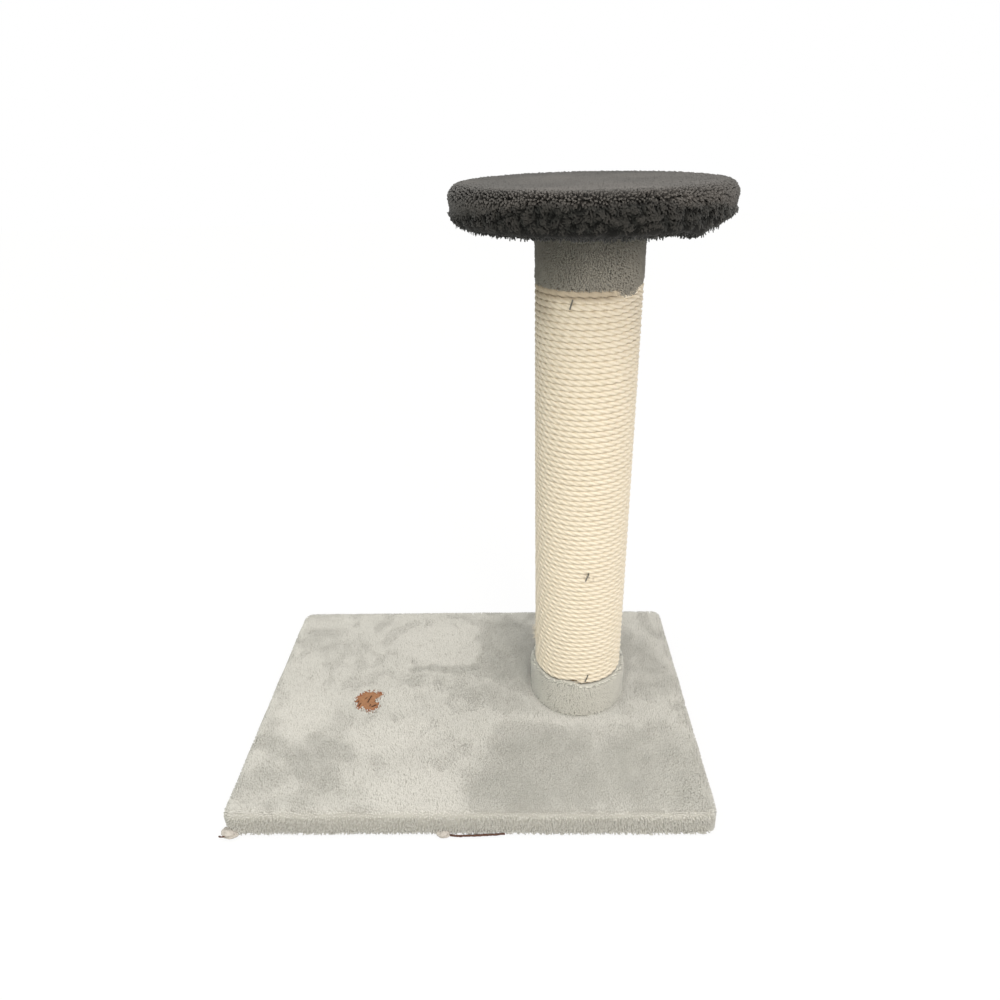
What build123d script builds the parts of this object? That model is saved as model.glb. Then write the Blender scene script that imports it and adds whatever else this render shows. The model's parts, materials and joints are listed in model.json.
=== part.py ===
from build123d import *
import math
import os

# A cat tree: a carpeted base, a rope-wound scratching post and a round plush platform.
# Millimetres, +Z up. The origin is on the floor at the middle of the base; -Y is the front.

# Base
board_length = 560.0          # along X
board_width = 381.0           # along Y
board_thick = 25.0
board_corner = 9.0            # corner radius in plan
carpet_side = 5.25            # backing and pile on the board's edges
carpet_top = 6.5
carpet_hem = 4.0              # the turned-under margin, its pile pressed by the weight
hem_width = 45.0
hem_corner = 12.0             # corner radius of the opening inside the margin
carpet_edge = 6.0             # rounding of the carpet's top edge
carpet_foot = 2.0             # rounding of its bottom edge
carpet_pressed = 2.5          # thickness of the carpet under the post
worn_spot_place = (-146.0, -6.0)
worn_spot_size = (38.0, 34.0)
worn_spot_depth = 4.0

# Post
post_place = (140.0, 24.6)    # axis of the post in plan
tube_radius = 50.8
tube_wall = 5.0
plug_height = 36.0
collar_low_radius = 64.0
collar_high_radius = 58.3
collar_flare_radius = 61.0    # where the upper collar meets the platform
collar_flare_low = 616.0      # where it starts to widen
collar_rim = 3.0              # height of each collar's rounded rims
collar_ease = 1.5             # how far a rim draws in
seam_gap = 0.8                # butt seam of each collar
seam_angle = 90.0             # its bearing round the post: the back
cloth_backing = 1.5           # the plush's ground without its pile

# Rope
rope_diameter = 6.35
rope_low = 82.5               # bottom of the lowest turn
rope_join = 246.5             # where the second length takes over from the first
rope_high = 582.0             # top of the highest turn
sleeve_round = 2.95           # rounding of the first and last turn

# Platform
platform_offset = -1.3        # the platform's centre, from the post's axis along X
platform_radius = 144.0       # over the plush
plate_radius = 132.0          # the round board inside
plate_thick = 18.0
plush_top = 12.4
plush_under = 12.0
plush_edge = 13.0             # rounding of the plush at the rim
plush_hem_radius = 62.5       # inner edge of the turned-under margin
platform_under = 639.0        # underside of the plush

# Fasteners
wire_wide = 1.3               # flat staple wire
wire_thick = 0.6
crown = 10.6
leg = 8.0
base_staple_pitch = 62.0
base_staple_inset = 32.4      # from the board's edge
base_staple_slant = 25.0      # away from the line of staples
plate_staple_count = 24
plate_staple_inset = 14.0     # from the inner edge of the margin
plate_staple_start = 7.5
plate_staple_slant = 87.0     # away from the radius
# bearing round the post, height and lean of the rope's staples: start, join and end
rope_staple_places = ((-112.7, 568.8, -17.0), (-86.8, 246.6, -20.0), (-82.6, 91.2, -18.0))
low_seam_heights = (46.0, 59.0, 72.0)
high_seam_heights = (594.0, 612.0, 630.0)
across_seam = 90.0            # lean of the staples over a seam
screw_shank = 4.5
screw_circle = 27.0           # radius of the ring of screws into each plug
screw_count = 3
screw_start = 30.0
base_screw_grip = 30.0        # length of thread in the lower plug
plate_screw_length = 45.0
pan_head_radius = 4.6
pan_head_height = 2.0
pan_head_round = 1.4
washer_radius = 8.0
washer_thick = 1.2
flush_head_radius = 4.4
flush_head_height = 2.6
nail_shank = 2.8
nail_length = 28.0
nail_head_radius = 3.2
nail_head_thick = 1.2
nail_count = 4
nail_start = 45.0
nail_sunk = 0.4               # below the tube's surface

# Heights that follow from the sizes above
board_low = carpet_hem
board_high = board_low + board_thick
base_height = board_high + carpet_top
tube_low = board_high + carpet_pressed
plate_low = platform_under + plush_under
plate_high = plate_low + plate_thick
platform_high = plate_high + plush_top
tube_high = plate_low
base_length = board_length + 2 * carpet_side
base_width = board_width + 2 * carpet_side
rope_outer = tube_radius + rope_diameter


def at_post(shape, z):
    return Pos(post_place[0], post_place[1], z) * shape


def at_platform(shape, z):
    return Pos(post_place[0] + platform_offset, post_place[1], z) * shape


def column(radius, low, high):
    # a plain round column standing on the XY plane at z = low
    return Pos(0, 0, (low + high) / 2) * Cylinder(radius, high - low)


def slab(length, width, low, high, corner):
    # a board with rounded corners in plan
    outline = RectangleRounded(length, width, corner)
    return Pos(0, 0, low) * extrude(outline, high - low)


def turned(points, start, arc):
    # a solid turned about Z through an arc, from the corners of its half section
    section = make_face(Polyline([(r, 0, z) for r, z in points], close=True))
    return Rot(0, 0, start) * revolve(section, Axis.Z, revolution_arc=arc)


def staple():
    # crown along X on the XY plane, legs down
    bar = Pos(0, 0, wire_thick / 2) * Box(crown, wire_wide, wire_thick)
    legs = [Pos(side * (crown - wire_thick) / 2, 0, -leg / 2) * Box(wire_thick, wire_wide, leg)
            for side in (-1, 1)]
    return bar + legs[0] + legs[1]


def ring_places(radius, count, start=0.0):
    # places and angles of a ring of fasteners
    for i in range(count):
        angle = start + 360.0 * i / count
        yield radius * math.cos(math.radians(angle)), radius * math.sin(math.radians(angle)), angle


def edge_places():
    # staple places along the four sides of the base's hem, each with its heading
    for length, offset, heading in ((board_length, board_width / 2 - base_staple_inset, 0),
                                    (board_width, board_length / 2 - base_staple_inset, 90)):
        count = int((length - 2 * base_staple_inset) / base_staple_pitch) + 1
        pitch = (length - 2 * base_staple_inset) / count
        for side in (-1, 1):
            for i in range(count):
                along = (i + 0.5 - count / 2) * pitch
                x, y = (along, side * offset) if heading == 0 else (side * offset, along)
                yield x, y, heading + base_staple_slant


def hem_staple(x, y, heading, height):
    # crown down on the backing of a hem, legs up into the board
    return Pos(x, y, height) * Rot(180, 0, heading) * staple()


def hem_pocket(x, y, heading, height, face):
    # the dent in the pile under a crown, from the hem's face up to the wire
    high = height - wire_thick
    return Pos(x, y, (face + high) / 2) * Rot(0, 0, heading) * Box(crown, wire_wide, high - face)


# Staples that hold the base's hem
base_crown = board_low - cloth_backing
base_staples = [hem_staple(*place, base_crown) for place in edge_places()]
base_pockets = [hem_pocket(*place, base_crown, 0) for place in edge_places()]

# Staples that hold the platform's hem
plate_crown = plate_low - cloth_backing
plate_places = [(x, y, angle + plate_staple_slant) for x, y, angle in ring_places(
    plush_hem_radius + plate_staple_inset, plate_staple_count, plate_staple_start)]
plate_staples = [at_platform(hem_staple(*place, plate_crown), 0) for place in plate_places]
plate_pockets = [at_platform(hem_pocket(*place, plate_crown, platform_under), 0)
                 for place in plate_places]


def wall_staple(angle, z, radius, lean):
    # a staple driven radially into the post's wall; lean turns its crown away from upright
    upright = Rot(0, 90, 0) * staple()
    return at_post(Rot(0, 0, angle) * Pos(radius, 0, 0) * Rot(lean, 0, 0) * upright, z)


rope_staples = [wall_staple(angle, z, rope_outer - wire_thick / 2, lean)
                for angle, z, lean in rope_staple_places]

# Collar staples: three across the seam of each collar, pressed down to its backing
collar_staples = [wall_staple(seam_angle, z, tube_radius + cloth_backing, across_seam)
                  for z in low_seam_heights + high_seam_heights]

# Screws and washers from below the base into the lower plug
washer_low = board_low - washer_thick
head_low = washer_low - pan_head_height


def base_screw(x, y):
    head = column(pan_head_radius, head_low, washer_low)
    head = fillet(head.edges().group_by(Axis.Z)[0], pan_head_round)
    shank = column(screw_shank / 2, washer_low, tube_low + base_screw_grip)
    return Pos(x, y, 0) * (head + shank)


def washer(x, y):
    ring = column(washer_radius, washer_low, board_low)
    return Pos(x, y, 0) * (ring - column(screw_shank / 2, 0, board_low))


screw_places = [(x, y) for x, y, angle in ring_places(screw_circle, screw_count, screw_start)]
base_screws = [at_post(base_screw(x, y), 0) for x, y in screw_places]
base_washers = [at_post(washer(x, y), 0) for x, y in screw_places]


# Countersunk screws from the top of the round board into the upper plug
def plate_screw(x, y):
    head = Pos(0, 0, plate_high - flush_head_height / 2) * Cone(
        screw_shank / 2, flush_head_radius, flush_head_height)
    shank = column(screw_shank / 2, plate_high - plate_screw_length, plate_high - flush_head_height)
    return Pos(x, y, 0) * (head + shank)


plate_screws = [at_post(plate_screw(x, y), 0) for x, y in screw_places]


# Nails through the tube's wall into each plug, heads sunk a little into the paper
def wall_nail(angle, z):
    head = Pos(0, 0, -nail_head_thick / 2) * Cylinder(nail_head_radius, nail_head_thick)
    shank = Pos(0, 0, -(nail_length + nail_head_thick) / 2) * Cylinder(
        nail_shank / 2, nail_length - nail_head_thick)
    flat = Pos(tube_radius - nail_sunk, 0, 0) * Rot(0, 90, 0) * (head + shank)
    return at_post(Rot(0, 0, angle) * flat, z)


nail_angles = [nail_start + 360 / nail_count * i for i in range(nail_count)]
low_plug_nails = [wall_nail(angle, tube_low + plug_height / 2) for angle in nail_angles]
high_plug_nails = [wall_nail(angle, tube_high - plug_height / 2) for angle in nail_angles]


def base_board():
    board = slab(board_length, board_width, board_low, board_high, board_corner)
    return board.cut(*base_screws, *base_staples)


def base_carpet():
    outside = slab(base_length, base_width, 0, base_height, board_corner + carpet_side)
    outside = fillet(outside.edges().group_by(Axis.Z)[-1], carpet_edge)
    outside = fillet(outside.edges().group_by(Axis.Z)[0], carpet_foot)
    inside = slab(board_length, board_width, board_low, board_high, board_corner)
    hem = slab(board_length - 2 * hem_width, board_width - 2 * hem_width, 0, board_low,
               hem_corner)
    post_dent = at_post(column(tube_radius, tube_low, base_height), 0)
    worn = Pos(worn_spot_place[0], worn_spot_place[1], base_height - worn_spot_depth) * extrude(
        Ellipse(worn_spot_size[0] / 2, worn_spot_size[1] / 2), worn_spot_depth)
    return outside.cut(inside, hem, post_dent, worn, *base_screws, *base_staples, *base_pockets)


def post_tube():
    wall = column(tube_radius, tube_low, tube_high) - column(
        tube_radius - tube_wall, tube_low, tube_high)
    nails = low_plug_nails + high_plug_nails
    return at_post(wall, 0).cut(*nails, *rope_staples, *collar_staples)


def plug(low, screws, nails):
    body = column(tube_radius - tube_wall, low, low + plug_height)
    return at_post(body, 0).cut(*screws, *nails, *collar_staples, *rope_staples)


def collar(profile):
    # a strip wrapped round the tube, its ends meeting in the seam
    half_seam = math.degrees(seam_gap / 2 / tube_radius)
    section = [(tube_radius, profile[0][1])] + profile + [(tube_radius, profile[-1][1])]
    strip = turned(section, seam_angle + half_seam, 360 - 2 * half_seam)
    return at_post(strip, 0).cut(*collar_staples)


def lower_collar():
    return collar([(collar_low_radius - collar_ease, base_height),
                   (collar_low_radius, base_height + collar_rim),
                   (collar_low_radius, rope_low - collar_rim),
                   (collar_low_radius - collar_ease, rope_low)])


def upper_collar():
    return collar([(collar_high_radius - collar_ease, rope_high),
                   (collar_high_radius, rope_high + collar_rim),
                   (collar_high_radius, collar_flare_low), (collar_flare_radius, plate_low)])


def rope_sleeve(low, high):
    # the outer shape of one length of wound rope
    sleeve = column(rope_outer, low, high)
    sleeve = fillet(sleeve.edges(), sleeve_round)
    bore = column(tube_radius, low, high)
    return at_post(sleeve - bore, 0).cut(*rope_staples)


def platform_board():
    board = column(plate_radius, plate_low, plate_high)
    return at_platform(board, 0).cut(*plate_screws, *plate_staples)


def platform_cover():
    outside = column(platform_radius, platform_under, platform_high)
    outside = fillet(outside.edges(), plush_edge)
    inside = column(plate_radius, plate_low, plate_high)
    hem = column(plush_hem_radius, platform_under, plate_low)
    return at_platform(outside - inside - hem, 0).cut(*plate_staples, *plate_pockets)


pieces = {
    "base_board": base_board(),
    "base_carpet": base_carpet(),
    "base_staples": Compound(base_staples),
    "base_screws": Compound(base_screws),
    "base_washers": Compound(base_washers),
    "lower_plug": plug(tube_low, base_screws, low_plug_nails),
    "lower_plug_nails": Compound(low_plug_nails),
    "post_tube": post_tube(),
    "upper_plug": plug(tube_high - plug_height, plate_screws, high_plug_nails),
    "upper_plug_nails": Compound(high_plug_nails),
    "lower_collar": lower_collar(),
    "upper_collar": upper_collar(),
    "collar_staples": Compound(collar_staples),
    "rope_upper_length": rope_sleeve(rope_join, rope_high),
    "rope_lower_length": rope_sleeve(rope_low, rope_join),
    "rope_staples": Compound(rope_staples),
    "platform_board": platform_board(),
    "platform_cover": platform_cover(),
    "platform_staples": Compound(plate_staples),
    "platform_screws": Compound(plate_screws),
}

os.makedirs("parts", exist_ok=True)
for name, piece in pieces.items():
    export_step(piece, f"parts/{name}.step")
    print(name, len(piece.solids()), round(piece.volume / 1000, 2), "cm3")
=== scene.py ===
import json
import math
import random

import bmesh
import bpy
import numpy as np
from mathutils import Matrix, Vector, kdtree, noise

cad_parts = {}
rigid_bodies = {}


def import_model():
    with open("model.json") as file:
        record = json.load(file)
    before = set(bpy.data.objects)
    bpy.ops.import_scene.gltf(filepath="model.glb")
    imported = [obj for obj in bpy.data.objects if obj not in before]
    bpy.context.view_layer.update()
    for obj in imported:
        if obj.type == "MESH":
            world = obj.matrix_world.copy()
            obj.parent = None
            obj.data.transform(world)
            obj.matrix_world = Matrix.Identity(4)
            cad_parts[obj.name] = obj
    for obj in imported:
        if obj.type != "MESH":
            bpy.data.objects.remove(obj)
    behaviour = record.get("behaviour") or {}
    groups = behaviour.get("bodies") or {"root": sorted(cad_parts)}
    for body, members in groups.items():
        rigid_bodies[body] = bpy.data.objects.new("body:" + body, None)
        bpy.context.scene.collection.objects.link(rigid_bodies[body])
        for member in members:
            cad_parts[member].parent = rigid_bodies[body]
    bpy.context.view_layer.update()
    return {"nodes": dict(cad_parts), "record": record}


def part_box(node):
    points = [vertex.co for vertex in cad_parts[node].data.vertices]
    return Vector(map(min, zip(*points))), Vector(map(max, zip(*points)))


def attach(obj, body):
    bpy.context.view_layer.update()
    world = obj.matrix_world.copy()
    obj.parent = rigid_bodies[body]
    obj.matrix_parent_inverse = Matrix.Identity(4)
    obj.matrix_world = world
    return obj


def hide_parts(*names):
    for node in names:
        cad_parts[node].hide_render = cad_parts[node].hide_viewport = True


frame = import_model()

mm = 0.001


def toLinear(hexColour):
    channels = [int(hexColour[i:i + 2], 16) / 255 for i in (1, 3, 5)]
    return [c / 12.92 if c <= 0.04045 else ((c + 0.055) / 1.055) ** 2.4 for c in channels] + [1.0]


def setInputs(node, inputs):
    # an input is a value, a hex colour, or a node or socket to link from
    for name, value in inputs.items():
        if isinstance(value, bpy.types.Node):
            value = next(output for output in value.outputs if output.enabled)
        if isinstance(value, bpy.types.NodeSocket):
            node.id_data.links.new(value, node.inputs[name])
        else:
            isColour = isinstance(value, str) and value.startswith("#")
            node.inputs[name].default_value = toLinear(value) if isColour else value


def addNode(tree, kind, inputs=None, **settings):
    node = tree.nodes.new(kind)
    for name, value in settings.items():
        setattr(node, name, value)
    setInputs(node, inputs or {})
    return node


def newMaterial(name):
    # with its shader, and the place on the object that its patterns follow
    material = bpy.data.materials.new(name)
    material.use_nodes = True
    tree = material.node_tree
    tree.nodes.clear()
    shader = addNode(tree, "ShaderNodeBsdfPrincipled")
    addNode(tree, "ShaderNodeOutputMaterial", {"Surface": shader})
    return material, tree, shader, addNode(tree, "ShaderNodeTexCoord").outputs["Object"]


def middle(node):
    low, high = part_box(node)
    return (low + high) / 2


def addObject(name, data):
    thing = bpy.data.objects.new(name, data)
    bpy.context.scene.collection.objects.link(thing)
    return thing


def place(mesh, name, material, nodes=()):
    # puts a finished mesh in the scene, rides it on the body and hides what it stands for
    piece = addObject(name, mesh)
    mesh.materials.clear()
    mesh.materials.append(material)
    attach(piece, "root")
    if nodes:
        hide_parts(*nodes)
    return piece


def meshFrom(bm, name):
    mesh = bpy.data.meshes.new(name)
    bm.to_mesh(mesh)
    bm.free()
    mesh.shade_smooth()
    return mesh


def discard(thing):
    data = thing.data
    bpy.data.objects.remove(thing)
    (bpy.data.meshes if isinstance(data, bpy.types.Mesh) else bpy.data.curves).remove(data)


def baked(source, name, keep=False):
    # the mesh that an object's modifiers make
    graph = bpy.context.evaluated_depsgraph_get()
    mesh = bpy.data.meshes.new_from_object(source.evaluated_get(graph), depsgraph=graph)
    mesh.name = name
    if not keep:
        discard(source)
    return mesh


def paint(mesh, name, values):
    # a number or vector for each vertex, which materials and the pile read
    values = np.array(values, np.float32)
    kind, key = ("FLOAT_VECTOR", "vector") if values.ndim > 1 else ("FLOAT", "value")
    layer = mesh.attributes.get(name) or mesh.attributes.new(name, kind, "POINT")
    layer.data.foreach_set(key, values.ravel())


def clothFrom(bm, name, rows, names=("nap", "tip", "grow", "tall", "lean")):
    # a cloth with a row of numbers for each vertex. The pile is scattered by the faces' numbers,
    # so they and their corners get a fixed order
    mesh = meshFrom(bm, name)
    places = [tuple(vert.co) for vert in mesh.vertices]
    rings = [tuple(face.vertices) for face in mesh.polygons]
    rings = sorted(ring[ring.index(min(ring)):] + ring[:ring.index(min(ring))] for ring in rings)
    mesh.clear_geometry()
    mesh.from_pydata(places, [], rings)
    mesh.shade_smooth()
    for key, column in zip(names, zip(*rows)):
        paint(mesh, key, column)
    return mesh


def readAll(items, name, width=1, kind=np.float32):
    got = np.empty(len(items) * width, kind)
    items.foreach_get(name, got)
    return got.reshape(-1, width) if width > 1 else got


def writeMap(mesh, places):
    # the map goes by the name that the export's bake looks for, because the export's own layout
    # would split thousands of bunches or turns into very small pieces
    layer = mesh.uv_layers.get("OFBake") or mesh.uv_layers.new(name="OFBake")
    layer.data.foreach_set("uv", np.asarray(places, np.float32).ravel())


def countTriangles(mesh):
    return sum(len(face.vertices) - 2 for face in mesh.polygons)


def smoothStep(low, high, value):
    t = np.clip((value - low) / (high - low), 0, 1)
    t = t * t * (3 - 2 * t)
    return t if np.ndim(t) else float(t)


def wander(point, scale, seed=0.0):
    # smooth noise from -1 to 1, its lumps about scale across (metres)
    return noise.noise(Vector(point) / scale + Vector((seed, -seed, 0.5 * seed)))


def peak(angle, at, width):
    # 1 at a bearing, and near 0 beyond its width
    return math.exp(-(math.remainder(angle - at, 2 * math.pi) / width) ** 2)


# places, from the frame
postAxis = middle("post_tube")
tubeRadius = (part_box("post_tube")[1].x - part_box("post_tube")[0].x) / 2
boardLow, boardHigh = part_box("base_board")
plushMiddle = middle("platform_cover")
plateLow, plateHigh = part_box("platform_board")
windingLow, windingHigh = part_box("rope_lower_length")[0].z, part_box("rope_upper_length")[1].z

cameraSettings = {
    "place": (0.0638, -0.7607, 0.7297),   # a hand-held camera in front of the base
    "heading": 1.733,                      # degrees to the left of straight ahead
    "pitch": 27.333,                       # degrees down
    "roll": -1.55,
    "lens": 26.11,
}


def makeCamera(s):
    data = bpy.data.cameras.new("camera")
    data.lens = s["lens"]
    data.sensor_width = 36.0
    data.clip_start = 0.01
    camera = addObject("camera", data)
    aim = Matrix.Translation(s["place"])
    for degrees, axis in ((s["heading"], "Z"), (90 - s["pitch"], "X"), (s["roll"], "Z")):
        aim = aim @ Matrix.Rotation(math.radians(degrees), 4, axis)
    camera.matrix_world = aim
    bpy.context.scene.camera = camera


lightSettings = {
    "sky": ("#FFFFFF", 0.45),
    "lamps": [
        # name, kind, place, what it points at, size, strength in watts, colour
        ("key", "AREA", (0.75, -2.0, 1.45), (0.1, 0.0, 0.3), 0.9, 26.0, "#FFF8F0"),
        ("fill", "AREA", (-1.6, -1.0, 1.2), (0.0, 0.0, 0.3), 1.4, 5.0, "#F2FBE6"),
        # the room's ceiling, as even on the floor far away as on the object: spread, watts per m2
        ("ceiling", "SUN", (0.1, -0.5, 2.4), (0.0, 0.0, 0.0), math.radians(75.0), 2.6, "#FFFEFA"),
    ],
    "floor": "#C6C6C4",
    "glow": 1.05,
    "glowShare": 0.85,
}


def makeLights(s):
    bpy.context.scene.view_settings.view_transform = "Standard"
    world = bpy.data.worlds.new("studio")
    world.use_nodes = True
    # the backdrop is white paper, and the room gives less light than it from the sides
    tree = world.node_tree
    room = tree.nodes["Background"]
    setInputs(room, {"Color": s["sky"][0], "Strength": s["sky"][1]})
    paper = addNode(tree, "ShaderNodeBackground", {"Color": "#FFFFFF", "Strength": 1.0})
    seen = addNode(tree, "ShaderNodeLightPath").outputs["Is Camera Ray"]
    both = addNode(tree, "ShaderNodeMixShader", {0: seen, 1: room, 2: paper})
    setInputs(tree.nodes["World Output"], {"Surface": both})
    bpy.context.scene.world = world
    for name, kind, spot, target, size, watts, colour in s["lamps"]:
        data = bpy.data.lights.new(name, kind)
        setattr(data, "angle" if kind == "SUN" else "size", size)
        data.energy = watts
        data.color = toLinear(colour)[:3]
        light = addObject(name, data)
        light.location = spot
        light.rotation_euler = (Vector(target) - Vector(spot)).to_track_quat("-Z", "Y").to_euler()


def makeFloor(s):
    bm = bmesh.new()
    bmesh.ops.create_grid(bm, x_segments=1, y_segments=1, size=6.0)
    material, tree, shader = newMaterial("floorPaper")[:3]
    setInputs(shader, {"Base Color": s["floor"], "Roughness": 0.9})
    # white paper lit from behind: bright to look at, with little of that light on the object
    glow = addNode(tree, "ShaderNodeEmission", {"Color": "#FFFFFF", "Strength": s["glow"]})
    seen = addNode(tree, "ShaderNodeLightPath").outputs["Is Camera Ray"]
    share = addNode(tree, "ShaderNodeMath", {0: seen, 1: s["glowShare"]}, operation="MULTIPLY")
    both = addNode(tree, "ShaderNodeMixShader", {0: share, 1: shader, 2: glow})
    setInputs(tree.nodes["Material Output"], {"Surface": both})
    floor = addObject("floor", meshFrom(bm, "floor"))
    floor.data.materials.append(material)


makeCamera(cameraSettings)
makeLights(lightSettings)
makeFloor(lightSettings)
print("camera, lights and floor ready")


def plushMaterial(name, colours, grain, bumpy):
    # cut-pile polyester plush: soft, no gloss, painted shade darker down between the tufts, and painted
    # sheen of the nap stroked one way or the other, with painted shade where less light falls
    material, tree, shader, spot = newMaterial(name)
    root, dark, light = colours
    nap, tip, shade = (addNode(tree, "ShaderNodeAttribute", attribute_name=key).outputs["Fac"]
                       for key in ("nap", "tip", "shade"))
    cloud = addNode(tree, "ShaderNodeTexNoise", {
        "Vector": spot, "Scale": 1000 / 38, "Detail": 3.0, "Roughness": 0.6})
    speck = addNode(tree, "ShaderNodeTexNoise", {"Vector": spot, "Scale": 1000 / grain, "Detail": 2.0})
    # nap and painted shade, 0 to 1, softened by a cloudy noise
    mixed = addNode(tree, "ShaderNodeMath", {0: cloud, 1: 0.1, 2: nap}, operation="MULTIPLY_ADD")
    shifted = addNode(tree, "ShaderNodeMath", {0: mixed, 1: 0.05}, operation="SUBTRACT", use_clamp=True)
    toned = addNode(tree, "ShaderNodeMix", {"Factor": shifted, "A": dark, "B": light}, data_type="RGBA")
    # fine specks, and each tuft a little lighter or darker than its neighbour
    for source, low, high, darkest, lightest in ((speck, 0.3, 0.7, 0.96, 1.03),
                                                 (shade, -1.0, 1.0, 0.96, 1.04)):
        tone = addNode(tree, "ShaderNodeMapRange", {
            "Value": source, "From Min": low, "From Max": high, "To Min": darkest, "To Max": lightest})
        toned = addNode(tree, "ShaderNodeVectorMath", {0: toned, "Scale": tone}, operation="SCALE")
    # painted shade down between the tufts: towards the root the colour goes to the darker root colour
    depth = addNode(tree, "ShaderNodeMath", {0: tip, 1: 0.7}, operation="POWER", use_clamp=True)
    colour = addNode(tree, "ShaderNodeMix", {"Factor": depth, "A": root, "B": toned}, data_type="RGBA")
    setInputs(shader, {"Base Color": colour, "Roughness": 0.95, "Specular IOR Level": 0.12,
                       "Sheen Weight": 0.2, "Sheen Roughness": 0.5})
    if bumpy:
        setInputs(shader, {"Normal": addNode(tree, "ShaderNodeBump", {
            "Height": speck, "Strength": 0.5, "Distance": 0.4 * mm})})
    return material


def ropeMaterial():
    # three-strand undyed cotton rope: matt cream, browner and darker down between the strands, from
    # painted shade and dust there, with the fine slanting lines of the yarns
    material, tree, shader, spot = newMaterial("undyedCottonRope")
    crest, soil = (addNode(tree, "ShaderNodeAttribute", attribute_name=key).outputs["Fac"]
                   for key in ("crest", "soil"))
    patch = addNode(tree, "ShaderNodeTexNoise", {"Vector": spot, "Scale": 1000 / 22, "Detail": 4.0})
    fibre = addNode(tree, "ShaderNodeTexNoise", {"Vector": spot, "Scale": 1000 / 0.9, "Detail": 2.0})
    # painted shade and dust down in the grooves between the strands
    grooveShadeAndDust = addNode(tree, "ShaderNodeMath", {0: crest, 1: 0.8}, operation="POWER", use_clamp=True)
    colour = "#E4D9C4"
    for share, low, high in ((patch, None, "#EDE3D1"), (grooveShadeAndDust, "#D2C6AF", None), (soil, None, "#B5A791")):
        colour = addNode(tree, "ShaderNodeMix", {"Factor": share, "A": low or colour,
                                                 "B": high or colour}, data_type="RGBA")
    fine = addNode(tree, "ShaderNodeMapRange", {
        "Value": fibre, "From Min": 0.3, "From Max": 0.7, "To Min": 0.93, "To Max": 1.05})
    colour = addNode(tree, "ShaderNodeVectorMath", {0: colour, "Scale": fine}, operation="SCALE")
    raised = addNode(tree, "ShaderNodeBump", {"Height": fibre, "Strength": 0.35, "Distance": 0.3 * mm})
    setInputs(shader, {"Base Color": colour, "Normal": raised, "Roughness": 0.9,
                       "Specular IOR Level": 0.2, "Sheen Weight": 0.15})
    return material


def twoToneMaterial(name, kind, grain, detail, colours, rough, metallic=0.0, raised=None):
    # two colours mixed by a pattern of a size in millimetres; raised is its bump's pattern, size,
    # strength and height
    material, tree, shader, spot = newMaterial(name)
    pattern = addNode(tree, kind, {"Vector": spot, "Scale": 1000 / grain})
    if detail is not None:
        setInputs(pattern, {"Detail": detail})
    share = pattern.outputs["Color"] if kind == "ShaderNodeTexVoronoi" else pattern
    colour = addNode(tree, "ShaderNodeMix", {"Factor": share, "A": colours[0], "B": colours[1]},
                     data_type="RGBA")
    setInputs(shader, {"Base Color": colour, "Roughness": rough, "Metallic": metallic})
    if raised:
        form = addNode(tree, raised[0], {"Vector": spot, "Scale": 1000 / raised[1]})
        setInputs(shader, {"Normal": addNode(tree, "ShaderNodeBump", {
            "Height": form, "Strength": raised[2], "Distance": raised[3] * mm})})
    return material


noiseKind, cellKind = "ShaderNodeTexNoise", "ShaderNodeTexVoronoi"
dust = (noiseKind, 1.5, 0.3, 0.3)
# colours at the root (painted shade) and at the tip with the nap stroked one way and the other (painted
# sheen)
paleColours = ("#B1AFA7", "#B6B5AE", "#CECCC5")
# the lower collar's pile: the pale plush's colours made lighter, painted light against the shade among its
# tufts
litLowCollarColours = ("#B4B2A8", "#D0CFC5", "#E6E4DA")
# the upper collar's pile: the pale plush's colours made darker, the platform's shade painted into it
shadedHighCollarColours = ("#5C5953", "#77746C", "#9E9A90")
darkColours = ("#090908", "#272826", "#585450")
materials = {
    "pale_plush": plushMaterial("palePlush", paleColours, 1.3, True),
    "pale_pile": plushMaterial("palePile", paleColours, 1.3, False),
    "low_collar": plushMaterial("lowCollarPile", litLowCollarColours, 1.3, False),
    "high_collar": plushMaterial("highCollarPile", shadedHighCollarColours, 1.3, False),
    "dark_plush": plushMaterial("darkPlush", darkColours, 1.6, True),
    "dark_pile": plushMaterial("darkPile", darkColours, 1.6, False),
    "cotton_rope": ropeMaterial(),
    # raw particle board, wood and paper tube: chips or fibres of mixed browns, dry and matt
    "particle_board": twoToneMaterial("particleBoard", cellKind, 4.0, None, ("#B98F63", "#8A6137"), 0.8,
                                      raised=dust),
    "plug_wood": twoToneMaterial("sawnPine", cellKind, 6.0, None, ("#D9B98A", "#C09862"), 0.8,
                                 raised=dust),
    "tube_card": twoToneMaterial("kraftTube", cellKind, 9.0, None, ("#A88660", "#9A7851"), 0.8,
                                 raised=dust),
    # drawn or zinc-plated steel: grey, half bright, with faint stains
    "staple_wire": twoToneMaterial("stapleWire", noiseKind, 3, 3.0, ("#5F5E5A", "#8B8A84"), 0.45, 1.0),
    "zinc_steel": twoToneMaterial("zincPlatedSteel", noiseKind, 3, 3.0, ("#A9A89E", "#D3D2C8"), 0.35,
                                  1.0),
    "nail_steel": twoToneMaterial("nailSteel", noiseKind, 3, 3.0, ("#6A6A68", "#8F8F8C"), 0.4, 1.0),
    # the plush's back, folded outwards: a smooth knitted ground, slightly pink from its latex
    "folded_back": twoToneMaterial("foldedBacking", noiseKind, 6, 3.0, ("#A29C95", "#C2BCB4"), 0.9,
                                   raised=(cellKind, 0.9, 0.4, 0.2)),
    # the sewn edge of the backing, dark brown thread; also a painted gap shadow beside the corner fold
    "edge_thread": twoToneMaterial("brownEdgeThread", noiseKind, 2, 2.0, ("#1E120C", "#6B4636"), 0.85),
}

slotOf = {entry["node"]: entry["material_slot"] for entry in frame["record"]["subparts"]}
for nodeName, thing in frame["nodes"].items():
    for materialSlot in thing.material_slots:
        materialSlot.material = materials[slotOf[nodeName]]
print("materials ready")


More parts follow.
